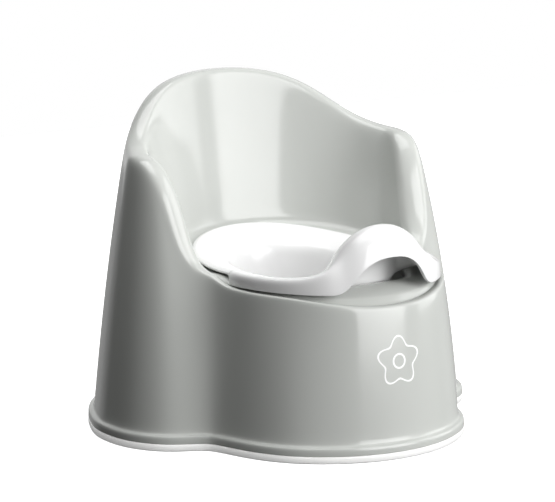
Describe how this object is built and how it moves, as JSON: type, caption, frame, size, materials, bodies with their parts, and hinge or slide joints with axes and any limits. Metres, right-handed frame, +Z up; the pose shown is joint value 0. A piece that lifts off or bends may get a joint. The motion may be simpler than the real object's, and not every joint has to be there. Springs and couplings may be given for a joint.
{
  "type": "potty training chair",
  "caption": "Moulded potty training chair with a high wrap-around back and arms, a lift-out potty with a splash guard, and an anti-slip strip round its foot.",
  "frame": {"origin": "middle of the footprint, on the floor", "axes": "+X across the chair from arm to arm, -Y the way the child faces, +Z up"},
  "size_m": [0.3712, 0.354, 0.3056],
  "materials": {
    "grey_plastic": "smooth moulded polypropylene, soft gloss",
    "white_plastic": "smooth moulded polypropylene, gloss",
    "white_rubber": "matt soft thermoplastic rubber"
  },
  "bodies": {
    "chair": {"chair_shell": "grey_plastic", "base_strip": "white_rubber"},
    "potty": {"potty_insert": "white_plastic"}
  },
  "joints": [
    {"name": "potty_lift", "type": "slide", "parent": "chair", "child": "potty", "axis": [0, 0, 1], "range_m": [0, 0.18]}
  ]
}
